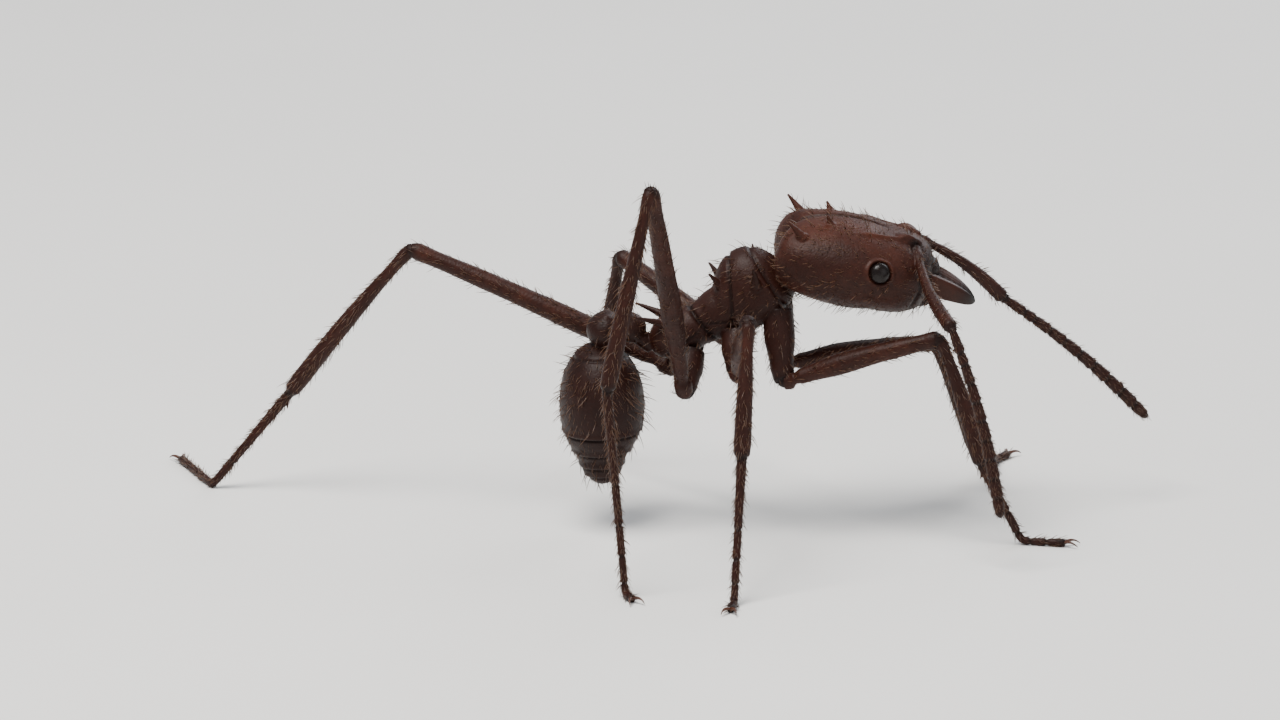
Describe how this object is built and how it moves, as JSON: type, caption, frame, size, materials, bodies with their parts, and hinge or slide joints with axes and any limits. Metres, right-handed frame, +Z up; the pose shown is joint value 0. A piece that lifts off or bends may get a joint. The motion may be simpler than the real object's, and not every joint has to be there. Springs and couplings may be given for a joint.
{
  "type": "leafcutter ant",
  "caption": "Leafcutter ant worker, dark reddish brown, walking with its gaster hanging down and its jaws closed.",
  "frame": {"origin": "the middle of the ant's box, on the floor that its feet stand on", "axes": "+X ahead of the ant, +Y to its left, +Z up"},
  "size_m": [0.017, 0.011, 0.007],
  "materials": {
    "cuticle": "rough reddish brown cuticle with a dull shine",
    "gaster_cuticle": "dark brown grainy cuticle with a dull shine",
    "limb_cuticle": "reddish brown cuticle, smoother than the body's",
    "mandible": "hard dark cuticle, almost black at the teeth",
    "eye": "black, glossy, finely faceted"
  },
  "bodies": {
    "root": {"head": "cuticle", "mesosoma": "cuticle", "petiole": "cuticle", "postpetiole": "cuticle", "gaster": "gaster_cuticle", "mandible_left": "mandible", "mandible_right": "mandible", "eye_left": "eye", "eye_right": "eye", "scape_left": "limb_cuticle", "funiculus_left": "limb_cuticle", "scape_right": "limb_cuticle", "funiculus_right": "limb_cuticle", "coxa_front_left": "limb_cuticle", "femur_front_left": "limb_cuticle", "tibia_front_left": "limb_cuticle", "tarsus_front_left": "limb_cuticle", "coxa_front_right": "limb_cuticle", "femur_front_right": "limb_cuticle", "tibia_front_right": "limb_cuticle", "tarsus_front_right": "limb_cuticle", "coxa_middle_left": "limb_cuticle", "femur_middle_left": "limb_cuticle", "tibia_middle_left": "limb_cuticle", "tarsus_middle_left": "limb_cuticle", "coxa_middle_right": "limb_cuticle", "femur_middle_right": "limb_cuticle", "tibia_middle_right": "limb_cuticle", "tarsus_middle_right": "limb_cuticle", "coxa_hind_left": "limb_cuticle", "femur_hind_left": "limb_cuticle", "tibia_hind_left": "limb_cuticle", "tarsus_hind_left": "limb_cuticle", "coxa_hind_right": "limb_cuticle", "femur_hind_right": "limb_cuticle", "tibia_hind_right": "limb_cuticle", "tarsus_hind_right": "limb_cuticle"}
  },
  "joints": []
}
